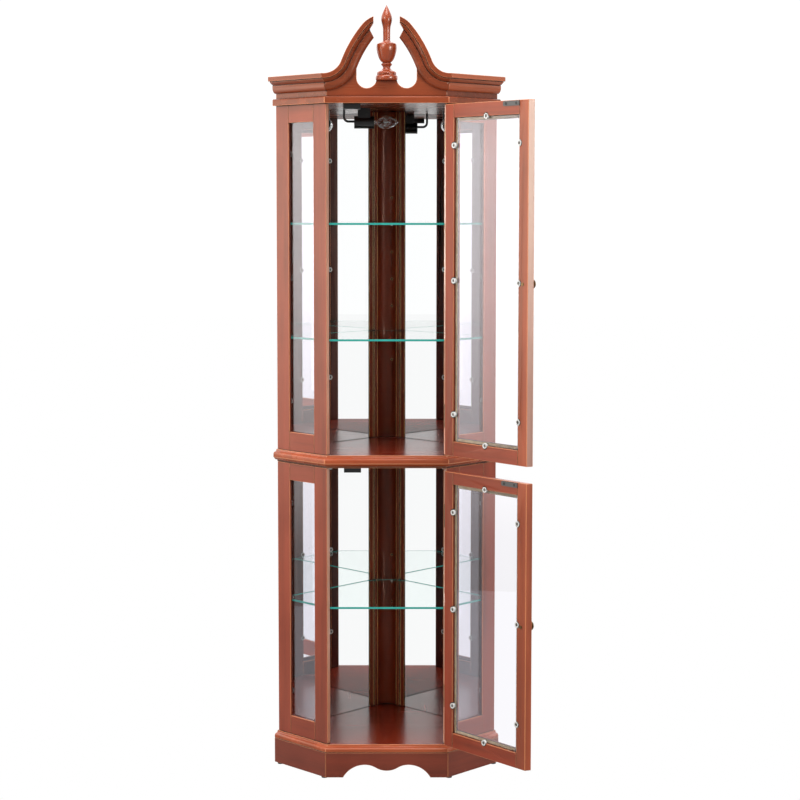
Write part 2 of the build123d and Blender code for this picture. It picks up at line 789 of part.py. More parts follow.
def make_door(bay):
    """One door, closed, with its fittings."""
    low, high = door_levels(bay)
    half = front_half - door_side_gap
    inner = half - door_stile
    bottom, top = door_rails[bay]
    back_y = front_y + door_thick
    window_z = (low + bottom, high - top)
    spacing = door_clip_spacing[bay]
    window = glazing(door_plane, (-inner, inner), window_z, (low, high), door_thick, spacing)
    pane, clips, rails, cuts = window
    outline = [(inner, front_y), (half, front_y), (half - door_thick * mitre, back_y), (inner, back_y)]
    stile = prism(outline, low, high)
    knob_x = door_stile / 2 - half
    knob_z = (low + high) / 2
    knob_hole = rod(door_plane, knob_x, knob_z, (-door_thick, 0), knob_screw[0] / 2 + pin_hole_gap)
    return {
        "hinge_stile": cut_all(stile, cuts + leaf_plates(bay, (leaf_gap, leaf_gap + leaf_thick))),
        "latch_stile": cut_all(flip(stile), cuts + [knob_hole]),
        "rails": group(rails),
        "glass": pane,
        "glass_clips": group(clips),
        "strike_plate": make_strike(high),
        "knob": make_knob(knob_x, knob_z),
        "hinge_leaves": group(make_leaves(bay, 1)),
    }


def make_nodes():
    """Every node by name, with the doors turned to their open pose."""
    plinth_front, plinth_side, plinth_rails = make_plinth()
    base_level = cap_section(base_deck_thick, 1.0, 5.5)
    waist_level = cap_section(waist_thick, 7.0, 14.0)
    bay_top = prism(case_plan(-bay_top_setback), z_bay_top, z_waist)
    nodes = {
        "plinth_front": plinth_front,
        "plinth_right": plinth_side,
        "plinth_left": flip(plinth_side),
        "plinth_back_rails": plinth_rails,
        "glides": make_glides(),
        "base_deck": make_deck(base_level, z_base, base_deck_thick),
        "lower_bay_top": bay_top - board_rebate(z_bay_top, z_waist),
        "waist_deck": make_deck(waist_level, z_waist, waist_thick),
        "top_deck": make_deck(top_section(), z_top, top_deck_thick),
    }
    frames = {bay: make_side_frame(bay) for bay in bays}
    mirror_side = inner_side_line - mirror_gap * root2
    mirrors = [wall_panel(mirror_line, board_line, mirror_side, *bays[bay]) for bay in bays]
    frieze, crown = make_side_top()
    gable = make_gable()
    pieces = {
        "rear_stiles": [frames[bay]["rear_stile"] for bay in bays],
        "side_rails": [rail for bay in bays for rail in frames[bay]["rails"]],
        "side_glass": [frames[bay]["glass"] for bay in bays],
        "mirror": mirrors,
        "back_board": [wall_panel(board_line, wall_line, board_side_line, z_base, z_neck)],
        "crown": [crown],
        "gable": [gable],
    }
    for name, solids in pieces.items():
        nodes[name + "_right"] = group(solids)
        nodes[name + "_left"] = group([flip(solid) for solid in solids])
    frame_plates = (-leaf_thick, 0)
    for bay in bays:
        stile = frames[bay]["front_stile"]
        nodes[bay + "_front_stile_left"] = flip(stile)
        nodes[bay + "_front_stile_right"] = cut_all(stile, leaf_plates(bay, frame_plates))
        nodes["corner_post_" + bay] = make_post(bay)
        for name, piece in make_door(bay).items():
            nodes[bay + "_door_" + name] = piece.rotate(hinge_line, door_open)
    clips = frames["lower"]["clips"] + frames["upper"]["clips"]
    nodes["side_glass_clips"] = group(clips + [flip(clip) for clip in clips])
    for name in shelf_heights:
        nodes["shelf_" + name] = make_shelf(name)
    nodes["shelf_pins"] = make_shelf_pins()
    nodes["frieze_boards"] = group([frieze, flip(frieze)])
    nodes["tympanum"] = make_pediment_board()
    nodes["finial_block"] = make_finial_block()
    nodes["finial"] = make_finial()
    nodes["lamp_socket"], nodes["lamp_bulb"], nodes["lamp_lead"] = make_lamp()
    nodes["magnetic_catches"] = make_catches()
    nodes["hinge_frame_leaves"] = group(make_leaves("lower", 0) + make_leaves("upper", 0))
    return nodes


os.makedirs("parts", exist_ok=True)
for name, piece in make_nodes().items():
    export_step(piece, f"parts/{name}.step")
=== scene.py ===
# %% [markdown]
# The frame: the imported solids of a corner curio cabinet.
# They are loaded first and stay where they are. Every piece that is added rides on one of
# three bodies: the carcass, the lower door and the upper door.

# %% Load the frame
import math

import bpy
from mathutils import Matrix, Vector


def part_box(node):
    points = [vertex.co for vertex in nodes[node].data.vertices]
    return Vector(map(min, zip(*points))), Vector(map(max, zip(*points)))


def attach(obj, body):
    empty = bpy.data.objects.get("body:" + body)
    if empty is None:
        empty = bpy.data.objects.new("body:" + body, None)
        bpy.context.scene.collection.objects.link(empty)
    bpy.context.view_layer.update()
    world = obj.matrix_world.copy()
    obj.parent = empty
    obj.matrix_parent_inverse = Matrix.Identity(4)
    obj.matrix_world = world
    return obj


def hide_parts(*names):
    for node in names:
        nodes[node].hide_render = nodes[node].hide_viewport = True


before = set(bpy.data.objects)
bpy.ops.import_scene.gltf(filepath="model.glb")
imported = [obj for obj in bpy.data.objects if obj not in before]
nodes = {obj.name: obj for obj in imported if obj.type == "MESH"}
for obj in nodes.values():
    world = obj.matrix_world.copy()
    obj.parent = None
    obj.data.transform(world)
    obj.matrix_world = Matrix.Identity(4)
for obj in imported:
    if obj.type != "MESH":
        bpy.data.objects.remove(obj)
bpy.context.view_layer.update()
bpy.ops.object.select_all(action="DESELECT")

# %% [markdown]
# The camera: the photograph was taken from straight in front, at about chest height.
# Upright lines stay all but upright in it, so the camera looks down only a little and the
# lens is shifted for the rest of the way. A level camera with all of the shift would match
# as well, but the shift stays in the other views and would cut the top off there. The
# distance was found from how fast widths shrink from the plinth to the room corner.

# %% Camera
camera_place = (0.0076, -4.9122, 1.4108)
camera_tilt = math.radians(4.53)
bpy.ops.object.camera_add(location=camera_place, rotation=(math.pi / 2 - camera_tilt, 0, 0))
camera = bpy.context.object
camera.name = "photo_camera"
camera.data.sensor_width = 36
camera.data.lens = 83.33
camera.data.shift_x = 0.0128
camera.data.shift_y = -0.055
camera.data.clip_end = 100
bpy.context.scene.camera = camera
print("camera", tuple(camera.location), "lens", camera.data.lens)

# %% [markdown]
# The studio: a plain white floor and surround, with large soft lights.
# Mirrors and clear glass show the surround as white as the camera sees it. What it gives
# as light is softer, and least from the front, so the faces that look at the camera stay
# deeper in tone than the ones that look left, where the largest soft light stands. A satin
# surface shows a share of the white, which gives the lacquer its highlights.

# %% Colours in the way a maker reads them
def paint(red, green, blue):
    """A colour read off a screen, 0 to 255, as Blender's linear values."""
    parts = []
    for value in (red, green, blue):
        value = value / 255
        parts.append(value / 12.92 if value <= 0.04045 else ((value + 0.055) / 1.055) ** 2.4)
    return (*parts, 1.0)


def new_material(name):
    """An empty node material with one Principled shader."""
    material = bpy.data.materials.new(name)
    material.use_nodes = True
    tree = material.node_tree
    tree.nodes.clear()
    output = tree.nodes.new("ShaderNodeOutputMaterial")
    shader = tree.nodes.new("ShaderNodeBsdfPrincipled")
    tree.links.new(shader.outputs["BSDF"], output.inputs["Surface"])
    return material, tree, shader


def ramp(tree, value, *stops):
    """Colours along a value, given as pairs of a position and a colour."""
    node = tree.nodes.new("ShaderNodeValToRGB")
    elements = node.color_ramp.elements
    for element, (position, colour) in zip(elements, (stops[0], stops[-1])):
        element.position = position
        element.color = colour
    for position, colour in stops[1:-1]:
        elements.new(position).color = colour
    tree.links.new(value, node.inputs["Fac"])
    return node.outputs["Color"]


print("mahogany mid tone", paint(150, 70, 45))

# %% Floor and surround
gloss_share = 0.35      # how much of the steady white a satin surface shows
floor_white, surround_white = 1.0, 1.05


def seen_directly(tree):
    """1 for what the camera sees, also in a mirror or through glass, a share for gloss, 0 for light."""
    path = tree.nodes.new("ShaderNodeLightPath")
    gloss = tree.nodes.new("ShaderNodeMath")
    gloss.operation = "MULTIPLY"
    gloss.inputs[1].default_value = gloss_share
    either = tree.nodes.new("ShaderNodeMath")
    either.operation = "MAXIMUM"
    any_of = tree.nodes.new("ShaderNodeMath")
    any_of.operation = "MAXIMUM"
    tree.links.new(path.outputs["Is Glossy Ray"], gloss.inputs[0])
    tree.links.new(path.outputs["Is Camera Ray"], either.inputs[0])
    tree.links.new(path.outputs["Is Singular Ray"], either.inputs[1])
    tree.links.new(either.outputs["Value"], any_of.inputs[0])
    tree.links.new(gloss.outputs["Value"], any_of.inputs[1])
    return any_of.outputs["Value"]


def white_when_seen(tree, kind, glow, plain, output):
    """Show a steady white to the eye and the plain shader to everything else."""
    white = tree.nodes.new(kind)
    white.inputs["Color"].default_value = (1, 1, 1, 1)
    white.inputs["Strength"].default_value = glow
    mix = tree.nodes.new("ShaderNodeMixShader")
    tree.links.new(seen_directly(tree), mix.inputs["Fac"])
    tree.links.new(plain, mix.inputs[1])
    tree.links.new(white.outputs[0], mix.inputs[2])
    tree.links.new(mix.outputs["Shader"], output.inputs["Surface"])


floor_tone = (0.22, 0.22, 0.22, 1)
bpy.ops.mesh.primitive_plane_add(size=40, location=(0, 0, 0))
floor = bpy.context.object
floor.name = "studio_floor"
floor_material, tree, shader = new_material("floor_paint")
shader.inputs["Base Color"].default_value = floor_tone
shader.inputs["Roughness"].default_value = 0.9
output = tree.nodes["Material Output"]
white_when_seen(tree, "ShaderNodeEmission", floor_white, shader.outputs["BSDF"], output)
floor.data.materials.append(floor_material)

surround = ((0.0, 0.22), (0.45, 0.7), (0.6, 1.1), (1.0, 2.4))     # from the front to the back
world = bpy.data.worlds.new("white_studio")
bpy.context.scene.world = world
world.use_nodes = True
tree = world.node_tree
place = tree.nodes.new("ShaderNodeTexCoord")
parts = tree.nodes.new("ShaderNodeSeparateXYZ")
facing = tree.nodes.new("ShaderNodeMapRange")
facing.inputs["From Min"].default_value = -1.0
tree.links.new(place.outputs["Generated"], parts.inputs["Vector"])
tree.links.new(parts.outputs["Y"], facing.inputs["Value"])
shades = [(position, (value, value, value, 1)) for position, value in surround]
soft = tree.nodes["Background"]
tree.links.new(ramp(tree, facing.outputs["Result"], *shades), soft.inputs["Color"])
white_when_seen(tree, "ShaderNodeBackground", surround_white, soft.outputs[0], tree.nodes["World Output"])
print("surround", surround)


# %% Soft lights
def soft_light(name, place, aim, width, brightness):
    """A square soft light that looks at a point, as bright as a white wall times a factor."""
    bpy.ops.object.light_add(type="AREA", location=place)
    lamp = bpy.context.object
    lamp.name = name
    lamp.data.shape = "SQUARE"
    lamp.data.size = width
    lamp.data.energy = brightness * math.pi * width * width
    lamp.rotation_euler = (Vector(aim) - Vector(place)).to_track_quat("-Z", "Y").to_euler()
    return lamp


soft_light("key_softbox", (-2.2, -3.0, 2.9), (0, -0.3, 1.4), 1.4, 8.0)
soft_light("right_softbox", (3.06, -3.65, 1.75), (0.38, -0.67, 1.3), 1.3, 16.0)
soft_light("top_softbox", (0, -1.0, 3.6), (0, -0.3, 1.0), 1.6, 7.0)
panel_place = (-1.9, -0.3, 1.6)
panel_height, panel_width, panel_top = 3.1, 2.2, 3.2
bpy.ops.mesh.primitive_plane_add(size=1, location=panel_place, rotation=(0, math.pi / 2, 0))
panel = bpy.context.object
panel.name = "left_light_panel"
panel.scale = (panel_height, panel_width, 1)
bpy.ops.object.transform_apply(location=True, rotation=True, scale=True)
panel.visible_camera = False
glow_material, tree, shader = new_material("panel_glow")
place = tree.nodes.new("ShaderNodeTexCoord")
parts = tree.nodes.new("ShaderNodeSeparateXYZ")
rise = tree.nodes.new("ShaderNodeMapRange")
rise.inputs["From Max"].default_value = panel_top
tree.links.new(place.outputs["Object"], parts.inputs["Vector"])
tree.links.new(parts.outputs["Z"], rise.inputs["Value"])
panel_warmth = (1, 0.96, 0.9)
panel_levels = (        # a share of the panel's height, and how bright it is there
    (0.0, 0.5), (0.08, 0.7), (0.2, 1.9), (0.35, 3.0),
    (0.5, 3.8), (0.56, 3.2), (0.62, 2.2), (1.0, 1.5),
)
levels = [(at, (*(value * part for part in panel_warmth), 1)) for at, value in panel_levels]
glow = tree.nodes.new("ShaderNodeEmission")
tree.links.new(ramp(tree, rise.outputs["Result"], *levels), glow.inputs["Color"])
tree.links.new(glow.outputs["Emission"], tree.nodes["Material Output"].inputs["Surface"])
panel.data.materials.append(glow_material)
bpy.context.scene.view_settings.view_transform = "Standard"

# %% [markdown]
# Stained mahogany: an even red-brown under a satin lacquer, with a quiet grain.
# The grain is noise stretched along each board: soft streaks and short dark pores. Broad
# clouds of plain noise make the stain a little uneven. Dark glaze, and painted shade with
# it, darkens inner corners and the wood under mouldings, which an occlusion value finds.
# Arrises have their own finish: lighter where they are free, partly wear and partly a
# painted highlight, and dark where two pieces meet in a groove. The mitred edges and one
# free door edge are paler as a painted highlight, the latch stiles of the doors and the
# right crown are lighter as painted light, and the backs of the side frames are darker as
# painted shade. The moulded posts have golden arrises, a painted highlight, and the decks
# a glossier top that is darker as painted shade.

# %% Wood finish
streak_scale, pore_scale, cloud_scale = 34, 420, 7
squeeze = {"X": (0.05, 1, 1), "Y": (1, 0.05, 1), "Z": (1, 1, 0.05)}     # by the direction of the grain
glaze_and_shade_reach, arris_reach = 0.014, 0.004
pore_depth = 0.0003
dark_share, light_share = 0.88, 1.07        # the streaks beside the tone that is given


def occlusion(tree, reach):
    """How open a point is to its surroundings, within a short reach."""
    open_sky = tree.nodes.new("ShaderNodeAmbientOcclusion")
    open_sky.samples = 6
    open_sky.inputs["Distance"].default_value = reach
    return open_sky.outputs["AO"]


def multiply(tree, first, second, amount):
    """One colour times another, as far as an amount from 0 to 1."""
    mix = tree.nodes.new("ShaderNodeMix")
    mix.data_type = "RGBA"
    mix.blend_type = "MULTIPLY"
    mix.inputs["Factor"].default_value = amount
    tree.links.new(first, mix.inputs["A"])
    tree.links.new(second, mix.inputs["B"])
    return mix.outputs["Result"]


def stained_wood(name, colour, turn=(0, 0, 0), grain="Z", gloss=0.34, coat=0.0, shine=0.5, bump=0.08):
    """Stained wood with its grain along one axis, turned to follow a slanted board."""
    material, tree, shader = new_material(name)
    place = tree.nodes.new("ShaderNodeTexCoord")
    align = tree.nodes.new("ShaderNodeMapping")
    align.inputs["Rotation"].default_value = turn
    shrink = tree.nodes.new("ShaderNodeMapping")
    shrink.inputs["Scale"].default_value = squeeze[grain]
    tree.links.new(place.outputs["Object"], align.inputs["Vector"])
    tree.links.new(align.outputs["Vector"], shrink.inputs["Vector"])

    def stretched(scale, detail, rough):
        noise = tree.nodes.new("ShaderNodeTexNoise")
        noise.inputs["Scale"].default_value = scale
        noise.inputs["Detail"].default_value = detail
        noise.inputs["Roughness"].default_value = rough
        tree.links.new(shrink.outputs["Vector"], noise.inputs["Vector"])
        return noise.outputs["Fac"]

    streaks = stretched(streak_scale, 5, 0.55)
    pores = stretched(pore_scale, 3, 0.6)
    dark = paint(*[value * dark_share for value in colour])
    light = paint(*[value * light_share for value in colour])
    tone = ramp(tree, streaks, (0.34, dark), (0.5, paint(*colour)), (0.68, light))
    speckle = ramp(tree, pores, (0.36, (0.62, 0.55, 0.52, 1)), (0.5, (1, 1, 1, 1)))
    # darker in inner corners and under mouldings: partly real glaze, partly painted shade
    glaze_and_shade = ramp(tree, occlusion(tree, glaze_and_shade_reach), (0.3, (0.42, 0.3, 0.28, 1)), (0.85, (1, 1, 1, 1)))
    tone = multiply(tree, tone, speckle, 0.2)
    cloud = tree.nodes.new("ShaderNodeTexNoise")
    cloud.inputs["Scale"].default_value = cloud_scale
    cloud.inputs["Detail"].default_value = 3
    tree.links.new(place.outputs["Object"], cloud.inputs["Vector"])
    stain = ramp(tree, cloud.outputs["Fac"], (0.32, (0.8, 0.7, 0.66, 1)), (0.6, (1, 1, 1, 1)))
    tone = multiply(tree, tone, stain, 0.8)
    tree.links.new(multiply(tree, tone, glaze_and_shade, 1.0), shader.inputs["Base Color"])
    sheen = tree.nodes.new("ShaderNodeMapRange")
    sheen.inputs["To Min"].default_value = gloss - 0.04
    sheen.inputs["To Max"].default_value = gloss + 0.06
    tree.links.new(streaks, sheen.inputs["Value"])
    tree.links.new(sheen.outputs["Result"], shader.inputs["Roughness"])
    relief = tree.nodes.new("ShaderNodeBump")
    relief.inputs["Strength"].default_value = bump
    relief.inputs["Distance"].default_value = pore_depth
    shader.inputs["Specular IOR Level"].default_value = shine
    shader.inputs["Specular Tint"].default_value = (1, 0.92, 0.78, 1)
    shader.inputs["Coat Weight"].default_value = coat
    shader.inputs["Coat Roughness"].default_value = 0.18
    tree.links.new(pores, relief.inputs["Height"])
    tree.links.new(relief.outputs["Normal"], shader.inputs["Normal"])
    return material


print("noise scales", streak_scale, pore_scale, cloud_scale)


# %% Finish of the arrises
def arris_finish(name, worn_and_lit, glazed):
    """Arrises of the wood: lighter where they are free, partly wear and partly a painted highlight, dark
    where they form a groove.
    """
    material, tree, shader = new_material(name)
    tone = ramp(tree, occlusion(tree, arris_reach), (0.93, paint(*glazed)), (0.995, paint(*worn_and_lit)))
    tree.links.new(tone, shader.inputs["Base Color"])
    shader.inputs["Roughness"].default_value = 0.38
    return material


glaze_tone = (34, 10, 6)
# the lighter colour of free arrises is partly wear and partly a painted highlight
arris_wood = arris_finish("wood_arris", (206, 128, 84), glaze_tone)
# golden arrises of the moulded posts: a painted highlight
post_arris_highlight = arris_finish("post_arris_highlight", (250, 196, 130), glaze_tone)
print("arrises", arris_wood.name, post_arris_highlight.name)

# %% The woods of the cabinet
eighth = math.radians(45)
door_open = math.radians(131)       # from closed to where the photograph shows the doors
case_tone = (143, 62, 42)
door_tone = (148, 58, 34)
plinth_tone = (120, 50, 34)
# latch stiles lighter than the hinge stiles: painted light
latch_lit_tone = (162, 76, 46)
top_tone = (134, 60, 31)
cap_tone = (166, 76, 42)
# the right crown lighter than the left one, which uses the top wood: painted light
crown_right_lit_tone = (172, 88, 54)
post_tone = (124, 46, 20)
# backs of the side frames darker: painted shade
inner_shade_tone = (78, 28, 20)
# paler mitred faces of the front stiles: a painted highlight
mitre_sheen_tone = (196, 134, 104)
# paler free edge of the upper door: a painted highlight
free_edge_highlight_tone = (168, 122, 108)
turned_tone = (150, 62, 27)
# darker flat tops of the decks: painted shade
deck_top_shade_tone = (124, 40, 22)
board_tone = (94, 48, 34)
wood_at = {
    "upright": ((0, 0, 0), "Z"), "long": ((0, 0, 0), "X"),
    "right": ((0, 0, -eighth), "X"), "left": ((0, 0, eighth), "X"),
}
case_wood, plinth_wood, top_wood = {}, {}, {}
for way in ("upright", "right", "left"):
    case_wood[way] = stained_wood("case_wood_" + way, case_tone, *wood_at[way])
for way in ("long", "right", "left"):
    plinth_wood[way] = stained_wood("plinth_wood_" + way, plinth_tone, *wood_at[way])
for way in ("long", "left"):
    top_wood[way] = stained_wood("top_wood_" + way, top_tone, *wood_at[way], gloss=0.26, shine=0.45)
cap_wood = stained_wood("cap_wood", cap_tone, grain="X", gloss=0.26, shine=0.5)
post_wood = stained_wood("post_wood", post_tone, gloss=0.34, shine=0.3)
inner_shaded_wood = stained_wood("inner_shaded_wood", inner_shade_tone, gloss=0.4, shine=0.2)
crown_right_lit_wood = stained_wood("crown_right_lit_wood", crown_right_lit_tone, *wood_at["right"], gloss=0.26, shine=0.5)
mitre_sheen_wood = stained_wood("mitre_sheen_wood", mitre_sheen_tone, gloss=0.3, shine=1.0)
free_edge_highlight_wood = stained_wood("free_edge_highlight_wood", free_edge_highlight_tone, gloss=0.3, shine=0.7)
turned_wood = stained_wood("turned_wood", turned_tone, gloss=0.28, coat=0.5, shine=0.45, bump=0.0)
deck_top_shaded_wood = stained_wood(
    "deck_top_shaded_wood", deck_top_shade_tone, grain="X", gloss=0.25, coat=0.2, shine=0.3, bump=0.0,
)
raw_wood, tree, shader = new_material("raw_wood")
place = tree.nodes.new("ShaderNodeTexCoord")
fibres = tree.nodes.new("ShaderNodeTexNoise")
fibres.inputs["Scale"].default_value = 90
tree.links.new(place.outputs["Object"], fibres.inputs["Vector"])
raw_tone = ramp(tree, fibres.outputs["Fac"], (0.3, paint(214, 184, 138)), (0.7, paint(240, 218, 178)))
tree.links.new(raw_tone, shader.inputs["Base Color"])
shader.inputs["Roughness"].default_value = 0.6
door_upright = stained_wood("door_wood_upright", door_tone)
# a lighter copy of the door wood for the latch stiles: painted light
door_latch_lit = stained_wood("door_wood_latch", latch_lit_tone)
door_long = stained_wood("door_wood_rail", door_tone, (0, 0, -door_open), "X")
board_wood = stained_wood("back_board_wood", board_tone, gloss=0.5)
print("woods", [m.name for m in bpy.data.materials if "wood" in m.name])

# %% [markdown]
# Glass, mirrors and small fittings.
# Clear panes are thin glass, the shelves are thicker and green at their edges, and the
# mirrors are silvered: a smooth metal. The panes have a slightly high index, so that they
# mirror the light at the left as clearly as the real ones do. The ground edges of the
# shelves have a faint painted glow, which stands in for light that enters a sheet and comes
# out there. Clips are white plastic and the strikes dull steel.

# %% Glass and mirror finishes
def clear_glass(name, tint, rough=0.0, sheen_tint=(1, 1, 1, 1), index=1.46):
    """Glass for a pane or a shelf."""
    material, tree, shader = new_material(name)
    shader.inputs["Base Color"].default_value = tint
    shader.inputs["Roughness"].default_value = rough
    shader.inputs["Transmission Weight"].default_value = 1.0
    shader.inputs["IOR"].default_value = index
    shader.inputs["Specular Tint"].default_value = sheen_tint
    return material


pane_tint, pane_sheen = (0.955, 0.945, 0.985, 1), (0.94, 0.92, 1, 1)
pane_glass = clear_glass("pane_glass", pane_tint, sheen_tint=pane_sheen, index=1.62)
shelf_glass = clear_glass("shelf_glass", (0.9, 0.975, 0.955, 1))
shelf_edge = clear_glass("shelf_edge_glass", (0.02, 0.25, 0.21, 1), 0.25)
ground = shelf_edge.node_tree.nodes["Principled BSDF"]
# a painted glow on the ground edges: emission, though they are no lamp
ground.inputs["Emission Color"].default_value = (0.02, 0.26, 0.22, 1)
ground.inputs["Emission Strength"].default_value = 0.5
ground.inputs["Transmission Weight"].default_value = 0.15
bulb_glass = clear_glass("bulb_glass", (0.98, 0.98, 0.97, 1))
mirror_silver, tree, shader = new_material("mirror_silver")
shader.inputs["Base Color"].default_value = (0.97, 0.975, 0.975, 1)
shader.inputs["Metallic"].default_value = 1.0
shader.inputs["Roughness"].default_value = 0.0
print("glasses", pane_glass.name, shelf_glass.name, mirror_silver.name)


# %% Plastics and metals
def fine_finish(name, colour, rough, metal=0.0, shade=None):
    """Plastic or metal with a faint uneven tone and roughness, and painted shade in its recesses when a
    shade is given.
    """
    material, tree, shader = new_material(name)
    place = tree.nodes.new("ShaderNodeTexCoord")
    noise = tree.nodes.new("ShaderNodeTexNoise")
    noise.inputs["Scale"].default_value = 260
    noise.inputs["Detail"].default_value = 3
    tree.links.new(place.outputs["Object"], noise.inputs["Vector"])
    base = paint(*colour)
    darker = (*(part * dark_share for part in base[:3]), 1)
    tone = ramp(tree, noise.outputs["Fac"], (0.0, darker), (1.0, base))
    if shade:
        # darker in recesses: painted shade
        painted_recess_shade = ramp(tree, occlusion(tree, arris_reach), (0.35, paint(*shade)), (0.8, (1, 1, 1, 1)))
        tone = multiply(tree, tone, painted_recess_shade, 1.0)
    tree.links.new(tone, shader.inputs["Base Color"])
    spread = tree.nodes.new("ShaderNodeMapRange")
    spread.inputs["To Min"].default_value = rough - 0.05
    spread.inputs["To Max"].default_value = rough + 0.07
    tree.links.new(noise.outputs["Fac"], spread.inputs["Value"])
    tree.links.new(spread.outputs["Result"], shader.inputs["Roughness"])
    shader.inputs["Metallic"].default_value = metal
    return material


# the clips' shade darkens their recesses as painted shade
clip_plastic = fine_finish("clip_plastic", (236, 235, 232), 0.25, shade=(96, 94, 92))
glide_plastic = fine_finish("glide_plastic", (34, 30, 28), 0.6)
black_plastic = fine_finish("black_plastic", (18, 17, 17), 0.3)
dull_steel = fine_finish("dull_steel", (92, 91, 90), 0.5, metal=0.3)
antique_brass = fine_finish("antique_brass", (118, 96, 66), 0.32, metal=1.0)
black_screw = fine_finish("black_screw", (38, 36, 34), 0.4, metal=0.5)
pin_steel = fine_finish("pin_steel", (180, 178, 172), 0.28, metal=1.0)
print("fittings", clip_plastic.name, dull_steel.name, antique_brass.name)

# %% [markdown]
# The fittings, mirrors and panes keep their solids and get a finish.
# They are machined, moulded or cut, so their solids already have the right edges.

# %% Finish the fittings, glass and mirrors
fitting_finishes = {
    "glides": glide_plastic, "mirror_left": mirror_silver, "mirror_right": mirror_silver,
    "side_glass_left": pane_glass, "side_glass_right": pane_glass,
    "shelf_pins": pin_steel,
    "lamp_socket": black_plastic, "lamp_lead": black_plastic,
    "magnetic_catches": black_plastic, "hinge_frame_leaves": antique_brass,
}
for bay in ("lower", "upper"):
    door_finishes = {
        "glass": pane_glass, "strike_plate": dull_steel,
        "knob": antique_brass, "hinge_leaves": antique_brass,
    }
    for part, material in door_finishes.items():
        fitting_finishes[bay + "_door_" + part] = material
for name, material in fitting_finishes.items():
    nodes[name].data.materials.clear()
    nodes[name].data.materials.append(material)
print("finished", len(fitting_finishes), "of", len(nodes))

# %% [markdown]
# The wood: boards and mouldings, sanded by hand before they were stained.
# Each wooden piece is a merged copy of its solid with its arrises rounded, as sandpaper
# leaves them, and stands for that solid. Where two pieces meet, the two rounded arrises
# form the fine groove that shows every joint.

# %% Round the arrises of the wood
merge_distance = 0.00002
arris_turn = math.radians(38)       # edges that turn by more than this are rounded


def body_of(name):
    """The body that a node moves with."""
    doors = [body for body in ("lower_door", "upper_door") if name.startswith(body)]
    return doors[0] if doors else "carcass"


def only(piece):
    """Select one piece and make it active."""
    bpy.ops.object.select_all(action="DESELECT")
    bpy.context.view_layer.objects.active = piece
    piece.select_set(True)


def stand_in(piece, name):
    """Let a piece move with a node's body and hide that node, so that the piece stands for it."""
    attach(piece, body_of(name))
    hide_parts(name)
    return piece


def dress(name, material, width, edge, others=(), crease=30, curved=False):
    """Stand a merged copy with rounded arrises in for a node, some faces in another finish."""
    mesh = nodes[name].data.copy()
    mesh.materials.clear()
    mesh.materials.append(material)
    mesh.materials.append(edge)
    piece = bpy.data.objects.new(name + "_finished", mesh)
    bpy.context.collection.objects.link(piece)
    only(piece)
    bpy.ops.object.mode_set(mode="EDIT")
    bpy.ops.mesh.select_all(action="SELECT")
    bpy.ops.mesh.remove_doubles(threshold=merge_distance)
    if not curved:      # joins the strips of a flat face
        bpy.ops.mesh.dissolve_limited(angle_limit=math.radians(0.5))
    bpy.ops.object.mode_set(mode="OBJECT")
    bpy.ops.object.shade_smooth_by_angle(angle=math.radians(crease))
    for index, (finish, chosen) in enumerate(others):
        mesh.materials.append(finish)
        for face in mesh.polygons:
            if chosen(face):
                face.material_index = index + 2
    if name.startswith("gable"):        # its long curved faces would shade in blotches
        even = piece.modifiers.new("even_shading", "WEIGHTED_NORMAL")
        even.keep_sharp = True
    if not width:
        return stand_in(piece, name)
    arris = piece.modifiers.new("arris", "BEVEL")
    arris.width = width
    arris.segments = 2
    arris.limit_method = "ANGLE"
    arris.angle_limit = arris_turn
    arris.use_clamp_overlap = False
    arris.harden_normals = True
    arris.material = 1
    return stand_in(piece, name)


# %% Which wood each piece is
wood_finishes = {
    "plinth_front": plinth_wood["long"], "plinth_left": plinth_wood["left"],
    "plinth_right": plinth_wood["right"], "plinth_back_rails": board_wood,
    "base_deck": cap_wood, "lower_bay_top": board_wood,
    "waist_deck": cap_wood, "top_deck": top_wood["long"],
    "side_rails_left": case_wood["left"], "side_rails_right": case_wood["right"],
    "rear_stiles_left": case_wood["upright"], "rear_stiles_right": case_wood["upright"],
    "crown_left": top_wood["left"], "crown_right": crown_right_lit_wood,
    "frieze_boards": top_wood["long"], "gable_left": top_wood["long"],
    "gable_right": top_wood["long"], "tympanum": top_wood["long"],
    "finial_block": turned_wood, "finial": turned_wood,
    "corner_post_lower": post_wood, "corner_post_upper": post_wood,
    "back_board_left": board_wood, "back_board_right": board_wood,
}
for bay in ("lower", "upper"):
    wood_finishes[bay + "_front_stile_left"] = case_wood["upright"]
    wood_finishes[bay + "_front_stile_right"] = case_wood["upright"]
    wood_finishes[bay + "_door_hinge_stile"] = door_upright
    wood_finishes[bay + "_door_latch_stile"] = door_latch_lit
    wood_finishes[bay + "_door_rails"] = door_long
print("wooden nodes", len(wood_finishes))

# %% Faces with a finish of their own
door_inside = Vector((-math.sin(door_open), math.cos(door_open), 0))
door_outward = Vector((-door_inside.y, door_inside.x, 0))       # from the hinges to the free edge
ledge_near, ledge_far = 0.006, 0.012        # how deep the ledge lies behind a door's inner face


def ledge_of(name):
    """A test for the narrow ledge that the pane of a door lies on."""
    inner_face = max(vertex.co.dot(door_inside) for vertex in nodes[name].data.vertices)
    return lambda face: (
        face.normal.dot(door_inside) > 0.99
        and ledge_near < inner_face - face.center.dot(door_inside) < ledge_far
    )


def deck_top_of(name):
    """A test for the flat top of a deck."""
    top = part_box(name)[1][2]
    return lambda face: face.normal.z > 0.99 and face.center.z > top - 0.0002


def mitre_of(name):
    """A test for the long edge that a front stile turns to the door beside it."""
    toward = 1 if name.endswith("left") else -1
    facing = Vector((toward * math.cos(eighth / 2), -math.sin(eighth / 2), 0))
    return lambda face: face.normal.dot(facing) > 0.97


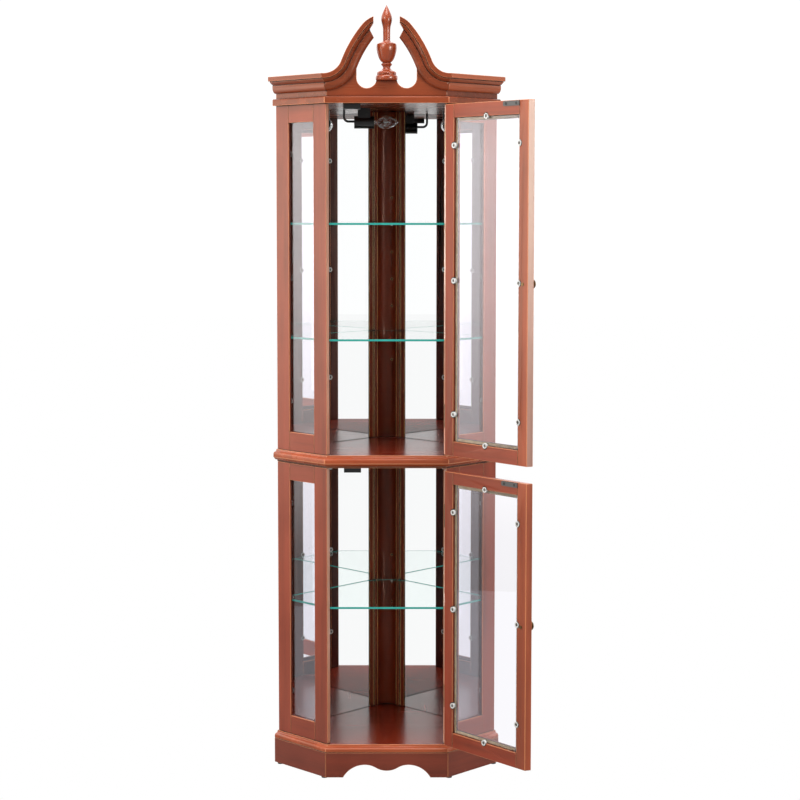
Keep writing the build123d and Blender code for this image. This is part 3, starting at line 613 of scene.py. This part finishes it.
def free_edge_of(face):
    """The long edge of a door away from its hinges."""
    return face.normal.dot(door_outward) > 0.9


def inner_face_of(face):
    """The back of a side frame, which only the mirrors show: it gets a darker tone as painted shade."""
    # it looks halfway between the back and one side, where both parts are 0.707
    return face.normal.y > 0.69 and 0.69 < abs(face.normal.x) < 0.73


print("door faces look along", tuple(door_inside), "and", tuple(door_outward))

# %% Dress the wooden pieces
arris_width, arris_widths = 0.0012, {"finial": 0, "gable": 0.0007, "crown": 0.0008}
usual_crease, creases = 30, {"finial": 42, "gable": 18}
wooden = {}
for name, material in wood_finishes.items():
    others = []
    # mitre faces and one free door edge get painted highlight tones, deck tops and frame backs painted
    # shade tones
    if "front_stile" in name:
        others.append((mitre_sheen_wood, mitre_of(name)))
    if name == "upper_door_latch_stile":
        others.append((free_edge_highlight_wood, free_edge_of))
    if "_door_" in name:
        others.append((raw_wood, ledge_of(name)))
    if name in ("base_deck", "waist_deck"):
        others.append((deck_top_shaded_wood, deck_top_of(name)))
    kind = name.split("_")[0]
    if kind in ("rear", "side") or "front_stile" in name:
        others.append((inner_shaded_wood, inner_face_of))
    curved = kind in ("finial", "gable")
    width = arris_widths.get(kind, arris_width)
    edge = post_arris_highlight if name.startswith("corner_post") else arris_wood
    crease = creases.get(kind, usual_crease)
    wooden[name] = dress(name, material, width, edge, others, crease, curved)
print("wooden pieces", len(wooden))

# %% [markdown]
# Small hardware: the clips that hold the panes.
# Each is a round cap of white plastic with a sunk face and a screw in it. Two insets of the
# flat face make the cup, because the solid is a plain short cylinder there.

# %% Cupped clips
clip_rim, cup_wall, cup_depth = 0.0022, 0.0008, 0.0007


def cup_clips(name):
    """Sink the face of every clip a little, round a darker screw."""
    piece = dress(name, clip_plastic, 0, clip_plastic)
    mesh = piece.data
    mesh.materials.append(screw_steel)
    only(piece)
    flat = [face for face in mesh.polygons if len(face.vertices) > 8]
    for item in list(mesh.polygons) + list(mesh.edges) + list(mesh.vertices):
        item.select = False
    for face in flat:
        face.select = True
    bpy.ops.object.mode_set(mode="EDIT")
    bpy.ops.mesh.select_mode(type="FACE")
    bpy.ops.mesh.inset(thickness=clip_rim, depth=0, use_individual=True)
    bpy.ops.mesh.inset(thickness=cup_wall, depth=-cup_depth, use_individual=True)
    bpy.context.object.active_material_index = 2
    bpy.ops.object.material_slot_assign()
    bpy.ops.object.mode_set(mode="OBJECT")
    return len(flat)


screw_steel = fine_finish("screw_steel", (104, 100, 96), 0.35, metal=0.8)
for name in ("side_glass_clips", "lower_door_glass_clips", "upper_door_glass_clips"):
    print(name, cup_clips(name))

# %% [markdown]
# Two dark screws hold each strike plate, one near each end.
# A head is a short cylinder, let in until it stands a tenth of a millimetre proud, so that
# it clears the catch when the door is shut. Two insets of its face make the dish.

# %% Screws of the strike plates
screw_radius, screw_depth, screw_proud = 0.0031, 0.0012, 0.0001
screw_rim, dish_wall, dish_depth = 0.0014, 0.0003, 0.0006
screw_share = 0.31      # how far from the middle, as a share of the plate's length


def strike_screw(bay, way):
    """One dished screw head, let into a strike plate to the left or right of its middle."""
    plate = nodes[bay + "_door_strike_plate"].data.vertices
    along = -door_outward
    reach = [vertex.co.dot(along) for vertex in plate]
    face = max(vertex.co.dot(door_inside) for vertex in plate)
    rise = sum(corner[2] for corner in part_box(bay + "_door_strike_plate")) / 2
    across = (min(reach) + max(reach)) / 2 + way * screw_share * (max(reach) - min(reach))
    place = along * across + door_inside * (face + screw_proud - screw_depth / 2) + Vector((0, 0, rise))
    turn = door_inside.to_track_quat("Z", "Y").to_euler()
    bpy.ops.object.select_all(action="DESELECT")
    bpy.ops.mesh.primitive_cylinder_add(
        vertices=32, radius=screw_radius, depth=screw_depth, location=place, rotation=turn,
    )
    head = bpy.context.object
    head.name = f"{bay}_door_strike_screw_{'inner' if way > 0 else 'outer'}"
    head.data.materials.append(black_screw)
    head.data.materials.append(black_plastic)
    bpy.ops.object.transform_apply(location=True, rotation=True, scale=True)
    bpy.ops.object.mode_set(mode="EDIT")
    bpy.ops.mesh.select_all(action="SELECT")
    bpy.ops.mesh.bevel(offset=0.0001, segments=2)
    bpy.ops.mesh.select_all(action="DESELECT")
    bpy.ops.object.mode_set(mode="OBJECT")
    for item in head.data.polygons:
        item.select = item.normal.dot(door_inside) > 0.99
    bpy.ops.object.mode_set(mode="EDIT")
    bpy.ops.mesh.select_mode(type="FACE")
    bpy.ops.mesh.inset(thickness=screw_rim, depth=0)
    bpy.ops.mesh.inset(thickness=dish_wall, depth=-dish_depth)
    head.active_material_index = 1
    bpy.ops.object.material_slot_assign()
    bpy.ops.object.mode_set(mode="OBJECT")
    bpy.ops.object.shade_smooth_by_angle(angle=math.radians(40))
    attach(head, bay + "_door")
    return head


for bay in ("lower", "upper"):
    print([strike_screw(bay, way).name for way in (-1, 1)])

# %% [markdown]
# The glass shelves: their edges are ground and look green.
# Each shelf is a merged copy of its solid, like the wood. Its edges get the darker glass,
# and its arrises are broken by less than half a millimetre, as a grinding belt leaves them.

# %% Ground edges of the shelves
shelf_arris = 0.0004
for name in ("shelf_lower", "shelf_middle", "shelf_top"):
    others = [(shelf_edge, lambda face: abs(face.normal.z) < 0.5)]
    print(dress(name, shelf_glass, shelf_arris, shelf_edge, others).name)

# %% [markdown]
# Painted shadow: a dark bead stands in the joint between each mirror and the deck under it,
# where shade falls. Only the scene has it. It is a fine bar with rounded edges along the foot
# of the mirror rather than a painted line, so that it shows twice, once in each mirror.

# %% Beads under the mirrors
bead_width, bead_height, bead_round = 0.0009, 0.0016, 0.0003
bead_clearance = 0.001      # from its end to the far edge of the mirror


def mirror_bead(bay, deck, side):
    """A fine bead along the foot of the mirror on one side of one bay."""
    turn = math.copysign(eighth, side)
    inward = Vector((-side * math.sin(eighth), -math.cos(eighth), 0))
    mirror_node = nodes["mirror_right" if side > 0 else "mirror_left"]
    face = max(vertex.co.dot(inward) for vertex in mirror_node.data.vertices)
    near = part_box("corner_post_" + bay)[1][0]
    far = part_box("mirror_right")[1][0] - bead_clearance
    middle = (near + far) / 2 * side
    along = Vector((middle, 0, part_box(deck)[1][2] + bead_height / 2))
    along.y = -(face - bead_width / 2) / math.cos(eighth) - abs(middle)
    bpy.ops.object.select_all(action="DESELECT")
    bpy.ops.mesh.primitive_cube_add(size=1, location=along, rotation=(0, 0, -turn))
    bead = bpy.context.object
    bead.name = f"mirror_bead_{bay}_{'right' if side > 0 else 'left'}"
    bead.scale = ((far - near) / math.cos(eighth), bead_width, bead_height)
    bpy.ops.object.transform_apply(location=True, rotation=True, scale=True)
    bpy.ops.object.mode_set(mode="EDIT")
    bpy.ops.mesh.select_all(action="SELECT")
    bpy.ops.mesh.bevel(offset=bead_round, segments=2)
    bpy.ops.object.mode_set(mode="OBJECT")
    bead.data.materials.append(joint_shadow_black)
    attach(bead, "carcass")
    return bead


# black of the beads: a painted shadow in the joint under each mirror
joint_shadow_black = fine_finish("joint_shadow_black", (16, 12, 11), 0.6)
for bay, deck in (("lower", "base_deck"), ("upper", "waist_deck")):
    for side in (1, -1):
        print(mirror_bead(bay, deck, side).name)

# %% [markdown]
# The candle bulb: blown clear glass, which must be hollow to look like the real one.
# The skin of its solid becomes a thin wall. Two fine supports inside hold the filament.
# They are curves turned into meshes, because a wire is easiest to draw as a curve.

# %% Hollow bulb and its filament
bulb_box = [Vector(corner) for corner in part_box("lamp_bulb")]
socket_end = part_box("lamp_socket")[1][0]
bulb_middle = (bulb_box[0] + bulb_box[1]) / 2
shell = bpy.data.objects.new("bulb_shell", nodes["lamp_bulb"].data.copy())
bpy.context.collection.objects.link(shell)
only(shell)
shell.data.materials.clear()
shell.data.materials.append(bulb_glass)
shell.data.materials.append(antique_brass)
bpy.ops.object.mode_set(mode="EDIT")
bpy.ops.mesh.select_all(action="SELECT")
bpy.ops.mesh.remove_doubles(threshold=merge_distance)
bpy.ops.object.mode_set(mode="OBJECT")
bpy.ops.object.shade_smooth_by_angle(angle=math.radians(35))
for face in shell.data.polygons:
    if face.center.x < socket_end + 0.0002:
        face.material_index = 1
wall = shell.modifiers.new("wall", "SOLIDIFY")
wall.thickness = 0.0007
wall.offset = -1
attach(shell, "carcass")
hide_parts("lamp_bulb")


def wire(name, points, radius):
    """A fine wire through points, made a mesh."""
    curve = bpy.data.curves.new(name, "CURVE")
    curve.dimensions = "3D"
    curve.bevel_depth = radius
    curve.bevel_resolution = 2
    line = curve.splines.new("NURBS")
    line.points.add(len(points) - 1)
    for point, place in zip(line.points, points):
        point.co = (*place, 1)
    line.order_u = 3
    line.use_endpoint_u = True
    piece = bpy.data.objects.new(name, curve)
    bpy.context.collection.objects.link(piece)
    only(piece)
    bpy.ops.object.convert(target="MESH")
    piece = bpy.context.object
    piece.data.materials.append(pin_steel)
    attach(piece, "carcass")
    return piece


support_start, support_step = 0.018, 0.011
support_wire, filament_wire = 0.0003, 0.00025
inside = [bulb_middle.x - support_start + step * support_step for step in range(4)]
spreads = (0.001, 0.003, 0.007, 0.006)
for way in (1, -1):
    support = [(x, bulb_middle.y + way * spread, bulb_middle.z) for x, spread in zip(inside, spreads)]
    wire(f"bulb_support_{'front' if way > 0 else 'rear'}", support, support_wire)
coil = []
for step in range(21):
    outward = inside[3] + 0.002 * math.sin(step)
    across = bulb_middle.y + 0.006 - 0.0006 * step
    coil.append((outward, across, bulb_middle.z + 0.0016 * math.cos(step)))
wire("bulb_filament", coil, filament_wire)
print("bulb", tuple(bulb_middle))
